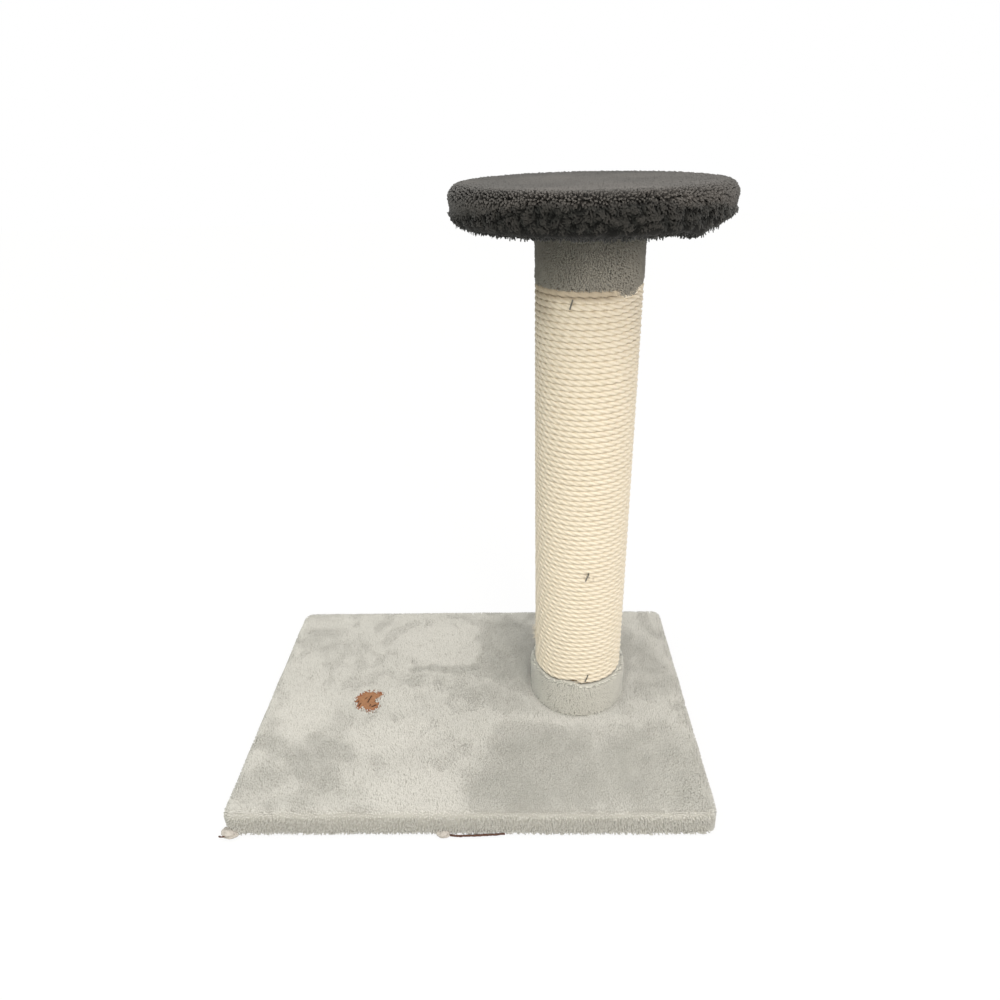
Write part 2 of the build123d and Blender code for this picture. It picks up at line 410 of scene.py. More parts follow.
ropeSettings = {
    "diameter": 6.35 * mm,
    "lay": 32 * mm,              # length of one full twist of the three strands
    "pointsPerTurn": 24,
    "samples": 5,                # rings between two points
    "valley": 0.74,              # the groove between two strands, as a share of the radius
    "shoulder": 0.95,
    "crest": 1.08,               # pulled tight, the strands press into the turn above
    "startAngle": -62.0,         # the start is tucked under the upper collar here, in degrees
    "turns": 76.09,
    "levelTurns": 10,
    "pressed": 1.17,             # the turns press on each other and spread up and down
    "lengths": {
        # name: CAD node, first and last turn
        "upperRope": ("rope_upper_length", 0.0, 51.07),
        "lowerRope": ("rope_lower_length", 51.07, 76.09),
    },
}


def stepped(turn):
    # whole turns that lie level, with a short drop into each next one
    whole = math.floor(turn)
    return whole + smoothStep(0.92, 1.0, turn - whole)


def ropeRoute(first, last, s):
    # points of one wound length, from its upper end down; the winding turns clockwise as it falls
    radius = tubeRadius + s["diameter"] / 2
    step = 2 * math.pi / s["pointsPerTurn"]
    reach = radius / math.cos(step / 2)         # the spline cuts inside its points by this much
    top, foot = windingHigh - s["diameter"] / 2, windingLow + s["diameter"] / 2
    pitch = (top - foot) / s["turns"]
    count = int(round((last - first) * s["pointsPerTurn"]))
    points = []
    for i in range(count + 1):
        turn = first + (last - first) * i / count
        angle = math.radians(s["startAngle"]) - 2 * math.pi * turn
        # beside the collars the turns lie level and drop under the start; further on they slant
        left = s["turns"] - turn
        level = (turn - stepped(turn)) * max(1 - turn / s["levelTurns"], 0)
        level -= (left - stepped(left)) * max(1 - left / s["levelTurns"], 0)
        out = reach + 0.22 * mm * wander((turn * 2.6, 0, 0), 1.0)
        rise = 0.30 * mm * wander((turn * 1.7, 3.0, 0), 1.0)
        points.append((postAxis.x + out * math.cos(angle), postAxis.y + out * math.sin(angle),
                       top - turn * pitch + level * pitch + rise))
    return points


def nurbs(name, points, samples):
    curve = bpy.data.curves.new(name, "CURVE")
    curve.dimensions = "3D"
    curve.resolution_u = samples
    spline = curve.splines.new("NURBS")
    spline.points.add(len(points) - 1)
    for point, spot in zip(spline.points, points):
        point.co = (*spot, 1.0)
    spline.order_u = 3
    spline.use_endpoint_u = True
    return curve


def ropeSection(s):
    # section of three strands laid together
    curve = bpy.data.curves.new("section", "CURVE")
    curve.dimensions = "2D"
    spline = curve.splines.new("POLY")
    spline.points.add(11)
    reach = [s["valley"], s["shoulder"], s["crest"], s["shoulder"]]
    for i, point in enumerate(spline.points):
        angle = 2 * math.pi * i / 12
        out = reach[i % 4] * s["diameter"] / 2
        point.co = (out * math.cos(angle), out * math.sin(angle), 0, 1)
    spline.use_cyclic_u = True
    return addObject("section", curve)


def mapRope(mesh, around, s):
    # unrolls the winding: round the post from left to right, and turn under turn
    perTurn = s["pointsPerTurn"] * s["samples"]
    corners = readAll(mesh.loops, "vertex_index", kind=np.int64)
    sizes = readAll(mesh.polygons, "loop_total", kind=np.int64)
    starts = np.concatenate([[0], np.cumsum(sizes)[:-1]])
    ring, side = corners // around, corners % around
    firstRing = np.repeat(np.minimum.reduceat(ring, starts), sizes)
    spread = np.maximum.reduceat(side, starts) - np.minimum.reduceat(side, starts)
    wraps = np.repeat(spread > around // 2, sizes)
    side = side + around * (wraps & (side < around // 2))
    rows = int(ring.max() // perTurn) + 1
    across = (firstRing % perTurn + ring - firstRing) / perTurn
    down = (firstRing // perTurn + side / around) / rows
    writeMap(mesh, np.stack([across * 0.99 + 0.005, 1 - down * 0.99 - 0.005], 1))


def layTwist(places, line, s):
    # turns each ring of the tube on by its share of the lay, so that the strands run round it
    around = len(places) // len(line)
    centres = line[:, None, :]
    ahead = np.gradient(line, axis=0)
    ahead = (ahead / np.linalg.norm(ahead, axis=1, keepdims=True))[:, None, :]
    along = np.concatenate([[0], np.cumsum(np.linalg.norm(np.diff(line, axis=0), axis=1))])
    wobble = np.array([0.5 * wander((a, 0, 0), 0.09) for a in along])
    angle = (2 * math.pi * along / s["lay"] + wobble)[:, None, None]
    out = places.reshape(len(line), around, 3).astype(float) - centres
    turned = (out * np.cos(angle) + np.cross(ahead, out) * np.sin(angle)
              + ahead * (out * ahead).sum(2, keepdims=True) * (1 - np.cos(angle)))
    turned *= np.array([1 + 0.05 * wander((a, 5, 0), 0.03) for a in along])[:, None, None]
    turned[:, :, 2] *= s["pressed"]
    return (centres + turned).reshape(-1, 3), around


def makeRope(name, node, first, last, section, s):
    curve = nurbs(name, ropeRoute(first, last, s), s["samples"])
    thing = addObject(name + "Line", curve)
    pathMesh = baked(thing, name + "Path", keep=True)
    line = readAll(pathMesh.vertices, "co", 3).astype(float)
    bpy.data.meshes.remove(pathMesh)
    curve.twist_mode = "Z_UP"
    curve.bevel_mode = "OBJECT"
    curve.bevel_object = section
    sleeve = baked(thing, name)
    twisted, around = layTwist(readAll(sleeve.vertices, "co", 3), line, s)
    sleeve.vertices.foreach_set("co", twisted.astype(np.float32).ravel())
    bm = bmesh.new()
    bm.from_mesh(sleeve)
    bmesh.ops.holes_fill(bm, edges=[e for e in bm.edges if e.is_boundary], sides=0)
    bmesh.ops.recalc_face_normals(bm, faces=bm.faces[:])
    bpy.data.meshes.remove(sleeve)
    mesh = meshFrom(bm, name)
    paint(mesh, "crest", np.tile([0.0, 0.75, 1.0, 0.75], len(twisted) // 4))
    height = (twisted[:, 2] - windingLow) / (windingHigh - windingLow)
    side = np.degrees(np.arctan2(twisted[:, 1] - postAxis.y, twisted[:, 0] - postAxis.x))
    top = smoothStep(0.975, 0.985, height) * smoothStep(-50, -75, side)
    smudge = smoothStep(0.91, 0.96, height) * smoothStep(-125, -150, side)
    paint(mesh, "soil", np.clip(0.9 * top + 0.6 * smudge, 0, 1))
    mapRope(mesh, around, s)
    piece = place(mesh, name, materials["cotton_rope"], [node])


section = ropeSection(ropeSettings)
for ropeName, (ropeNode, first, last) in ropeSettings["lengths"].items():
    makeRope(ropeName, ropeNode, first, last, section, ropeSettings)
discard(section)

fraySettings = {
    "seed": 3,
    # bearing round the post in degrees, height, spread, number of fibres, length
    "spots": [(184.0, 0.128, 6 * mm, 46, 7.0 * mm), (-95.0, 0.0865, 3 * mm, 16, 4.0 * mm),
              (-64.0, 0.5775, 3 * mm, 16, 4.0 * mm), (-80.0, 0.2440, 3 * mm, 18, 4.0 * mm)],
    "tuftThick": 0.32 * mm,
    "strays": 160,               # single fibres all over the winding
    "strayThick": 0.13 * mm,
}


def makeFray(s):
    # cotton that has frayed out of the rope
    dice = random.Random(s["seed"])
    places = []
    for bearing, height, spread, count, length in s["spots"]:
        for i in range(count):
            places.append((math.radians(bearing) + dice.gauss(0, spread) / tubeRadius,
                           height + dice.gauss(0, spread), length * dice.uniform(0.5, 1.0),
                           s["tuftThick"]))
    for i in range(s["strays"]):
        places.append((dice.uniform(-math.pi, math.pi), dice.uniform(windingLow, windingHigh),
                       dice.uniform(1.5, 3.5) * mm, s["strayThick"]))
    bm = bmesh.new()
    radius = tubeRadius + ropeSettings["diameter"] - 0.6 * mm
    for angle, height, length, thick in places:
        start = len(bm.verts)
        bmesh.ops.create_cone(bm, cap_ends=False, segments=3, radius1=thick, radius2=thick * 0.25,
                              depth=length)
        bm.verts.ensure_lookup_table()
        fibre = bm.verts[start:]
        bmesh.ops.translate(bm, verts=fibre, vec=(0, 0, length / 2))
        out = Vector((math.cos(angle), math.sin(angle), 0))
        aim = (out + Vector((dice.uniform(-1, 1), dice.uniform(-1, 1), dice.uniform(-1.2, 0.8))) * 0.9)
        turn = aim.to_track_quat("Z", "Y").to_matrix()
        bmesh.ops.rotate(bm, verts=fibre, cent=(0, 0, 0), matrix=turn)
        bmesh.ops.translate(bm, verts=fibre, vec=(postAxis.x + radius * out.x,
                                                  postAxis.y + radius * out.y, height))
    mesh = meshFrom(bm, "frayedCotton")
    paint(mesh, "crest", [1.0] * len(mesh.vertices))
    paint(mesh, "soil", [0.0] * len(mesh.vertices))
    place(mesh, "frayedCotton", materials["cotton_rope"])


makeFray(fraySettings)
print("rope wound")


def makeTuft(name, s, dice):
    # one bunch of fibres: narrow at the root, full in the middle, drawn together at its end
    bm = bmesh.new()
    bmesh.ops.create_circle(bm, segments=s["sides"], radius=s["widths"][0])
    mapLayer = bm.loops.layers.uv.new("OFBake")
    rims = bm.edges[:]
    levels = len(s["widths"]) - 1
    for level in range(1, levels + 1):
        grown = bmesh.ops.extrude_edge_only(bm, edges=rims)["geom"]
        newVerts = [g for g in grown if isinstance(g, bmesh.types.BMVert)]
        rims = [g for g in grown if isinstance(g, bmesh.types.BMEdge)
                and all(v in newVerts for v in g.verts)]
        for vert in newVerts:
            out = vert.co.xy.normalized() * s["widths"][level] * dice.uniform(0.8, 1.2)
            vert.co = (out.x, out.y, level / levels)
    bmesh.ops.contextual_create(bm, geom=rims)
    bmesh.ops.recalc_face_normals(bm, faces=bm.faces[:])
    for face in bm.faces:
        centre = face.calc_center_median()
        towards = math.atan2(centre.y, centre.x)
        for loop in face.loops:
            spot = loop.vert.co
            turn = math.remainder(math.atan2(spot.y, spot.x) - towards, 2 * math.pi)
            loop[mapLayer].uv = (0.5 + 0.4 * math.sin(towards + turn), 0.08 + 0.84 * spot.z)
    swing = dice.uniform(0.6, 1.4) * s["bend"]
    sway = dice.uniform(-0.3, 0.3) * s["bend"]
    tips = []
    for vert in bm.verts:
        t = vert.co.z
        # the tip number, by which the material paints shade towards the root; rootTone lightens that shade
        tips.append(t + (1 - t) * s.get("rootTone", 0.0))
        vert.co.x += swing * t * t
        vert.co.y += sway * t * t
        vert.co.z = t * (1 - 0.15 * t * t)
    mesh = meshFrom(bm, name)
    paint(mesh, "tip", tips)
    return bpy.data.objects.new(name, mesh)


def makeTufts(name, s, count=5):
    # a few different bunches to choose from
    dice = random.Random(s["seed"])
    group = bpy.data.collections.new(name)
    for i in range(count):
        group.objects.link(makeTuft(name + str(i), s, dice))
    return group


def pileTree(name, tufts, s, between):
    tree = bpy.data.node_groups.new(name, "GeometryNodeTree")
    for way in ("INPUT", "OUTPUT"):
        tree.interface.new_socket("Geometry", in_out=way, socket_type="NodeSocketGeometry")
    read = {key: addNode(tree, "GeometryNodeInputNamedAttribute", {"Name": key}, data_type=kind)
            for key, kind in (("grow", "FLOAT"), ("tall", "FLOAT"), ("lean", "FLOAT_VECTOR"))}
    draw = {}
    # what is drawn for each bunch: its kind, its first socket, lowest, highest and seed
    for key, kind, first, low, high, seed in (
            ("stray", "FLOAT_VECTOR", 0, (-1, -1, -1), (1, 1, 1), 11),
            ("spin", "FLOAT", 2, -s["spin"], s["spin"], 12), ("uneven", "FLOAT", 2, s["uneven"], 1.0, 13),
            ("choice", "INT", 4, 0, 4, 14), ("shade", "FLOAT", 2, -1.0, 1.0, 15)):
        draw[key] = addNode(tree, "FunctionNodeRandomValue", {first: low, first + 1: high, 8: seed},
                            data_type=kind)
    cloth = addNode(tree, "NodeGroupInput")
    points = addNode(tree, "GeometryNodeDistributePointsOnFaces", {
        "Mesh": cloth, "Distance Min": s["gap"], "Density Max": 2.5 / s["gap"] ** 2,
        "Density Factor": read["grow"], "Seed": s["seed"]}, distribute_method="POISSON")
    normal = points.outputs["Normal"]
    # each bunch leans as its cloth says, with a little of its own, and is combed that way
    stray = addNode(tree, "ShaderNodeVectorMath", {0: draw["stray"], "Scale": s["stray"]},
                    operation="SCALE")
    leaning = addNode(tree, "ShaderNodeVectorMath", {0: normal, 1: read["lean"]}, operation="ADD")
    heading = addNode(tree, "ShaderNodeVectorMath", {0: leaning, 1: stray}, operation="ADD")
    upright = addNode(tree, "FunctionNodeAlignRotationToVector", {"Vector": heading}, axis="Z")
    combed = addNode(tree, "FunctionNodeAlignRotationToVector", {
        "Rotation": upright, "Vector": read["lean"], "Factor": s["comb"]}, axis="X", pivot_axis="Z")
    spin = addNode(tree, "ShaderNodeCombineXYZ", {"Z": draw["spin"]})
    turned = addNode(tree, "FunctionNodeRotateRotation", {"Rotation": combed, "Rotate By": spin},
                     rotation_space="LOCAL")
    height = addNode(tree, "ShaderNodeMath", {0: read["tall"], 1: draw["uneven"]}, operation="MULTIPLY")
    scale = addNode(tree, "ShaderNodeCombineXYZ", {"X": 1.0, "Y": 1.0, "Z": height})
    choice = addNode(tree, "GeometryNodeCollectionInfo", {
        "Collection": tufts, "Separate Children": True, "Reset Children": True})
    aimed = addNode(tree, "GeometryNodeStoreNamedAttribute", {
        "Geometry": points, "Name": "up", "Value": normal}, data_type="FLOAT_VECTOR", domain="POINT")
    # each piece of a large cloth takes the bunches between two places across it
    across = addNode(tree, "ShaderNodeSeparateXYZ", {0: addNode(tree, "GeometryNodeInputPosition")})
    above = addNode(tree, "FunctionNodeCompare", {0: across, 1: between[0]}, operation="GREATER_EQUAL")
    below = addNode(tree, "FunctionNodeCompare", {0: across, 1: between[1]}, operation="LESS_THAN")
    planted = addNode(tree, "GeometryNodeInstanceOnPoints", {
        "Points": aimed, "Instance": choice, "Pick Instance": True, "Instance Index": draw["choice"],
        "Selection": addNode(tree, "FunctionNodeBooleanMath", {0: above, 1: below}),
        "Rotation": turned, "Scale": scale})
    for key, value in (("shade", draw["shade"]), ("tile", addNode(tree, "GeometryNodeInputIndex"))):
        planted = addNode(tree, "GeometryNodeStoreNamedAttribute", {
            "Geometry": planted, "Name": key, "Value": value}, data_type="FLOAT", domain="INSTANCE")
    addNode(tree, "NodeGroupOutput", {
        0: addNode(tree, "GeometryNodeRealizeInstances", {"Geometry": planted})})
    return tree


def softenShading(mesh, share, sideShare):
    # fine fibres take the light as one surface: each bunch's normals turn towards the cloth's
    up = readAll(mesh.attributes["up"].data, "vector", 3)
    own = readAll(mesh.vertex_normals, "vector", 3)
    shares = sideShare + (share - sideShare) * smoothStep(0.2, 0.8, up[:, 2:3])
    mixed = shares * up + (1 - shares) * own
    mixed /= np.maximum(np.linalg.norm(mixed, axis=1, keepdims=True), 1e-6)
    mesh.normals_split_custom_set_from_vertices(mixed)
    for name in ("up", "tile", "lean", "grow", "tall"):
        if name in mesh.attributes:
            mesh.attributes.remove(mesh.attributes[name])


def growPile(name, cloth, tufts, s, material, zone=None, between=(-9.0, 9.0), lowest=None):
    # grows the bunches on the cloth where its numbers say, and returns the piece
    copy = cloth.copy()
    if zone is not None:
        inZone = readAll(copy.attributes["zone"].data, "value") == zone
        paint(copy, "grow", readAll(copy.attributes["grow"].data, "value") * inZone)
    thing = addObject(name + "Cloth", copy)
    thing.modifiers.new("pile", "NODES").node_group = pileTree(name, tufts, s, between)
    mesh = baked(thing, name)
    if lowest is not None:
        places = readAll(mesh.vertices, "co", 3)
        places[:, 2] = np.maximum(places[:, 2], lowest)
        mesh.vertices.foreach_set("co", places.ravel())
        mesh.update()
    # each bunch's own map goes to a tile of its own
    tile = readAll(mesh.attributes["tile"].data, "value")
    number = tile[readAll(mesh.loops, "vertex_index", kind=np.int64)]
    count = int(tile.max()) + 1
    wide = int(math.ceil(math.sqrt(count)))
    cell = np.stack([number % wide, number // wide], 1)
    writeMap(mesh, (cell + readAll(mesh.uv_layers["OFBake"].data, "uv", 2)) / wide)
    mesh.shade_smooth()
    softenShading(mesh, s["soft"], s.get("sideSoft", s["soft"]))
    print(name, "bunches", count, "triangles", countTriangles(mesh))
    return place(mesh, name, material)


def setBack(cloth, thickness):
    # gives a cloth its thickness, towards its back
    thing = addObject("cloth", cloth)
    wall = thing.modifiers.new("wall", "SOLIDIFY")
    wall.thickness = thickness
    wall.offset = -1.0
    mesh = baked(thing, cloth.name)
    for vert in mesh.vertices:
        vert.co.z = max(vert.co.z, 0.2 * mm)
    return mesh


def slices(bm, axis, low, high, step):
    # cuts the whole shape into slices across one axis
    count = max(int(round((high - low) / step)), 1)
    normal, at = Vector((0, 0, 0)), Vector((0, 0, 0))
    normal[axis] = 1
    for i in range(1, count):
        at[axis] = low + (high - low) * i / count
        bmesh.ops.bisect_plane(bm, geom=bm.verts[:] + bm.edges[:] + bm.faces[:],
                               plane_co=at, plane_no=normal)


def spun(profile, steps, roundings=(), start=0.0, arc=360.0, fine=0.004):
    # a wire profile of radius and height, rounded at some corners and turned about the Z axis
    bm = bmesh.new()
    verts = [bm.verts.new((r, 0, z)) for r, z in profile]
    for a, b in zip(verts, verts[1:]):
        bm.edges.new((a, b))
    for corner, offset in roundings:
        bmesh.ops.bevel(bm, geom=[verts[corner]], offset=offset, offset_type="OFFSET", segments=4,
                        profile=0.5, affect="VERTICES", material=-1)
    for edge in bm.edges[:]:
        cuts = int(edge.calc_length() / fine)
        if cuts > 0:
            bmesh.ops.subdivide_edges(bm, edges=[edge], cuts=cuts)
    bmesh.ops.rotate(bm, verts=bm.verts[:], cent=(0, 0, 0),
                     matrix=Matrix.Rotation(math.radians(start), 3, "Z"))
    bmesh.ops.spin(bm, geom=bm.verts[:] + bm.edges[:], axis=(0, 0, 1), cent=(0, 0, 0),
                   angle=math.radians(arc), steps=steps, use_merge=arc == 360.0)
    bmesh.ops.remove_doubles(bm, verts=bm.verts[:], dist=1e-6)
    bmesh.ops.recalc_face_normals(bm, faces=bm.faces[:])
    if sum(f.normal.xy.dot(f.calc_center_median().xy) for f in bm.faces) < 0:
        bmesh.ops.reverse_faces(bm, faces=bm.faces[:])
    bm.normal_update()
    return bm


baseSettings = {
    "backing": 2.0 * mm,         # the woven back, outside the board
    "hem": 43 * mm,
    "corner": 11 * mm,
    "cell": 4.0 * mm,
    "pileTop": 4.6 * mm,
    "pileSide": 4.0 * mm,
    "pileHem": 2.4 * mm,
    "hemHeight": 1.4 * mm,
    "slices": ("Left", "MidLeft", "MidRight", "Right"),
    "margin": 20 * mm,           # the slices reach this far past the board
    # strokes of the nap, painted lighter or darker as its sheen, and the dark ones behind and left of
    # the post also its painted shadow: x, y, reach along and across, turn, lighter or darker (millimetres)
    "sheenAndShadowStrokes": [
        (95, -128, 96, 62, 6, -0.75), (222, -122, 66, 58, 0, -0.70), (60, -75, 46, 34, 20, -0.35),
        (45, -165, 52, 34, 8, -0.35), (165, -112, 16, 46, 8, 0.45),
        (48, 98, 44, 78, 12, -0.95), (22, 58, 34, 24, -8, -0.5), (-44, 55, 56, 9, 0, -0.75),
        (18, -4, 64, 22, -24, -0.45), (-70, 30, 34, 12, 8, -0.35),
        (-245, -90, 44, 15, -22, -0.4), (-196, -122, 38, 20, -35, -0.5), (-180, -92, 38, 15, -32, -0.6),
        (-168, -150, 18, 12, 0, -0.45), (-250, -142, 44, 15, 12, -0.3), (-190, -170, 60, 12, 4, -0.25),
        (-256, 132, 40, 16, 4, -0.3), (-214, 104, 26, 12, 10, -0.2), (258, -172, 26, 22, 20, -0.5),
        (236, 84, 30, 52, 6, -0.45), (252, 20, 22, 30, 0, -0.3),
        (-62, -165, 62, 34, 0, 0.45), (-228, -34, 34, 42, 0, 0.3), (-104, -72, 56, 28, 10, 0.35),
        (-60, 118, 62, 52, 0, 0.3), (120, -47, 92, 11, 0, 0.5), (-100, 0, 26, 26, 0, 0.2),
    ],
    "tuft": {"sides": 3, "widths": [0.5 * mm, 0.92 * mm], "bend": 0.5 * mm, "seed": 4},
    "pile": {"gap": 1.24 * mm, "seed": 7, "stray": 0.12, "comb": 0.6, "spin": 1.5, "uneven": 0.93,
             "soft": 0.9, "sideSoft": 0.25},
}

wornSettings = {
    "place": (-146 * mm, -6 * mm),
    "reach": (17.5 * mm, 18.0 * mm),
    "patch": 26 * mm,
    "cell": 0.7 * mm,
    "height": 4.0 * mm,          # over the board
    # slits where fibres have torn: two ends and half width, from the spot's middle (millimetres)
    "slits": [(1.5, 8.0, -1.5, -4.0, 1.2), (10.0, 4.0, 8.5, -3.0, 1.0), (-10.5, -6.0, -12.5, -10.5, 1.3),
              (-14.5, -1.0, -15.5, -5.5, 1.1), (10.5, -9.0, 6.0, -12.5, 1.6), (-4.0, 5.5, -6.0, 2.0, 0.8),
              (3.5, -8.0, 2.5, -11.0, 0.9)],
}


def wornEdge(x, y):
    # over 1 outside the worn spot, under 1 inside; ragged, with a bite on the right
    s = wornSettings
    dx, dy = x - s["place"][0], y - s["place"][1]
    angle = math.atan2(dy, dx)
    reach = math.hypot(dx / s["reach"][0], dy / s["reach"][1])
    ragged = (1 + 0.17 * noise.noise(Vector((3.1 * math.cos(angle), 3.1 * math.sin(angle), 0.4)))
              + 0.13 * noise.noise(Vector((x / (3.2 * mm), y / (3.2 * mm), 2.0)))
              - 0.42 * peak(angle, -0.05, 0.30) + 0.30 * peak(angle, 0.62, 0.16)
              + 0.12 * peak(angle, -1.0, 0.35))
    return reach / ragged


def napAt(x, y, sheenAndShadowStrokes):
    # 0 where the nap looks dark to 1 where it looks light: painted sheen, and the post's painted shadow
    wx = x / mm + 7 * wander((x, y, 0), 0.035) + 4 * wander((x, y, 3), 0.012)
    wy = y / mm + 7 * wander((x, y, 6), 0.035) + 4 * wander((x, y, 9), 0.012)
    value = 0.76 + 0.05 * wander((x, y, 12), 0.07) + 0.04 * wander((x, y, 15), 0.012)
    for sx, sy, along, across, turn, amount in sheenAndShadowStrokes:
        c, si = math.cos(math.radians(turn)), math.sin(math.radians(turn))
        dx, dy = wx - sx, wy - sy
        reach = math.hypot((c * dx + si * dy) / along, (c * dy - si * dx) / across)
        if reach < 1.25:
            value += amount * 0.62 * smoothStep(1.25, 0.7, reach)
    return min(max(value, 0.0), 1.0)


def makeBaseCloth(s):
    bm = bmesh.new()
    bmesh.ops.create_cube(bm, size=1.0)
    half = (boardHigh - boardLow) / 2 + Vector((s["backing"], s["backing"], 0))
    top, bottom = boardHigh.z + s["backing"], s["hemHeight"]
    bmesh.ops.scale(bm, vec=(2 * half.x, 2 * half.y, top - bottom), verts=bm.verts[:])
    bmesh.ops.translate(bm, vec=(0, 0, (top + bottom) / 2), verts=bm.verts[:])
    upright = [e for e in bm.edges if abs(e.verts[0].co.z - e.verts[1].co.z) > 0.01]
    bmesh.ops.bevel(bm, geom=upright, offset=s["corner"], offset_type="OFFSET", segments=5,
                    profile=0.5, affect="EDGES", material=-1)
    for level, offset, steps in ((top, 5.0 * mm, 3), (bottom, 2.0 * mm, 2)):
        rim = [e for e in bm.edges if all(abs(v.co.z - level) < 1e-5 for v in e.verts)]
        bmesh.ops.bevel(bm, geom=rim, offset=offset, offset_type="OFFSET", segments=steps,
                        profile=0.5, affect="EDGES", material=-1)
    under = [f for f in bm.faces if f.normal.z < -0.99 and f.calc_area() > 0.05]
    bmesh.ops.inset_region(bm, faces=under, thickness=s["hem"])
    bmesh.ops.delete(bm, geom=under, context="FACES")
    for axis, low, high in ((0, -half.x, half.x), (1, -half.y, half.y), (2, bottom, top)):
        slices(bm, axis, low, high, s["cell"])
    bmesh.ops.triangulate(bm, faces=[f for f in bm.faces if len(f.verts) > 4])
    bm.normal_update()
    rows = []
    for vert in bm.verts:
        x, y, z = vert.co
        up = vert.normal.z
        onTop, onHem = up > 0.5, up < -0.5
        outward = Vector((vert.normal.x, vert.normal.y, 0))
        vert.co += outward * 0.9 * mm * wander((x, y, 0), 0.055, 2)
        vert.co.z += 0.35 * mm * wander((x, y, 0), 0.04, 5) * (up > 0.3)
        nap = napAt(x, y, s["sheenAndShadowStrokes"])
        if up < 0.5:
            nap = 0.4 + 0.2 * wander((x, y, z), 0.03, 8)     # painted shade: the upright sides darker than the top
        worn = wornEdge(x, y) if onTop else 9.0
        if worn < 1.1:
            vert.co.z -= 0.8 * mm * smoothStep(1.1, 0.9, worn)
        grow = 0.0 if worn < 1.0 else 0.3 if onHem else 1.0 if onTop else 0.5
        tall = s["pileHem"] if onHem else s["pileTop"] if onTop else s["pileSide"]
        if onTop:
            # pressed down beside the post's collar
            fromPost = math.hypot(x - postAxis.x, y - postAxis.y)
            tall *= 0.35 + 0.65 * smoothStep(65 * mm, 73 * mm, fromPost)
        tall *= 1 + 0.10 * wander((x, y, z), 0.02, 3)
        lean = Vector((wander((x, y, 1), 0.018, 4), wander((x, y, 2), 0.018, 7), 0)) * 0.25
        lean += Vector((0.25 - 0.5 * nap, 0.5 * nap - 0.35, 0)) * max(up, 0)
        if up < 0.5:
            hang = 0.2 - 0.45 * smoothStep(3 * mm, 9 * mm, z)
            lean = Vector((0.3 * wander((x, y, z), 0.02, 1), 0.3 * wander((x, y, z), 0.02, 3), hang))
        if onHem:
            lean = Vector((x, y, 0)).normalized() * 1.6
        if 1.0 <= worn < 1.4:
            lean += (Vector((x, y, 0)) - Vector((*wornSettings["place"], 0))).normalized() * 0.35
        # tip 0.12: the cloth under the tufts takes most of the root's painted shade
        rows.append((nap, 0.12, grow, tall, lean))
    return clothFrom(bm, "baseCarpetCloth", rows)


baseCloth = makeBaseCloth(baseSettings)
print("base cloth", countTriangles(baseCloth))
baseTufts = makeTufts("shortBunch", baseSettings["tuft"])
firstCut = boardLow.x - baseSettings["margin"]
sliceWidth = (boardHigh.x - boardLow.x + 2 * baseSettings["margin"]) / len(baseSettings["slices"])
for i, part in enumerate(baseSettings["slices"]):
    cuts = firstCut + i * sliceWidth, firstCut + (i + 1) * sliceWidth
    growPile("basePile" + part, baseCloth, baseTufts, baseSettings["pile"],
                             materials["pale_pile"], between=cuts, lowest=0.2 * mm)
baseSkin = place(setBack(baseCloth, 1.6 * mm), "baseCarpet", materials["pale_plush"],
                 ["base_carpet"])
print("base carpet made")


def wornMaterial():
    # coarse jute backing with dried latex: tan, redder and darker where fibres have torn away
    material, tree, shader, spot = newMaterial("wornJuteBacking")
    crumbs = addNode(tree, "ShaderNodeTexNoise", {"Vector": spot, "Scale": 1000 / 3.0, "Detail": 3.0})
    colour = addNode(tree, "ShaderNodeMix", {"Factor": crumbs, "A": "#74492E", "B": "#A87C58"},
                     data_type="RGBA")
    for key, darker in (("rim", "#79432E"), ("slit", "#361B0D")):
        share = addNode(tree, "ShaderNodeAttribute", attribute_name=key).outputs["Fac"]
        colour = addNode(tree, "ShaderNodeMix", {"Factor": share, "A": colour, "B": darker},
                         data_type="RGBA")
    raised = addNode(tree, "ShaderNodeBump", {"Height": crumbs, "Strength": 0.6, "Distance": 0.5 * mm})
    setInputs(shader, {"Base Color": colour, "Normal": raised, "Roughness": 0.85})
    return material


def makeWornSpot(s):
    # the spot where the pile is worn away, down to the brown backing
    count = int(2 * s["patch"] / s["cell"])
    bm = bmesh.new()
    bmesh.ops.create_grid(bm, x_segments=count, y_segments=count, size=s["patch"])
    bmesh.ops.translate(bm, vec=(*s["place"], boardHigh.z + s["height"]), verts=bm.verts[:])
    outside = [f for f in bm.faces if wornEdge(*f.calc_center_median().xy) > 1.2]
    bmesh.ops.delete(bm, geom=outside, context="FACES")
    bmesh.ops.smooth_vert(bm, verts=[v for v in bm.verts if v.is_boundary], factor=0.5,
                          use_axis_x=True, use_axis_y=True, use_axis_z=True)
    slit, rim = [], []
    for vert in bm.verts:
        x, y = (vert.co.xy - Vector(s["place"])) / mm
        depth = 0.0
        for ax, ay, bx, by, wide in s["slits"]:
            along, spot = Vector((bx - ax, by - ay)), Vector((x - ax, y - ay))
            share = min(max(spot.dot(along) / along.length_squared, 0), 1)
            depth = max(depth, smoothStep(wide, wide * 0.4, (spot - share * along).length))
        edge = smoothStep(0.72, 1.0, wornEdge(vert.co.x, vert.co.y))
        slit.append(depth)
        rim.append(edge * (0.5 + 0.5 * wander((x, y, 0), 4.0)))
        vert.co.z += (0.5 * wander((x, y, 1), 3.0) + 0.3 * wander((x, y, 2), 1.3)
                      - 0.9 * depth - 0.6 * edge) * mm
    mesh = meshFrom(bm, "wornSpot")
    paint(mesh, "slit", slit)
    paint(mesh, "rim", rim)
    place(setBack(mesh, 0.8 * mm), "wornSpot", wornMaterial())


makeWornSpot(wornSettings)
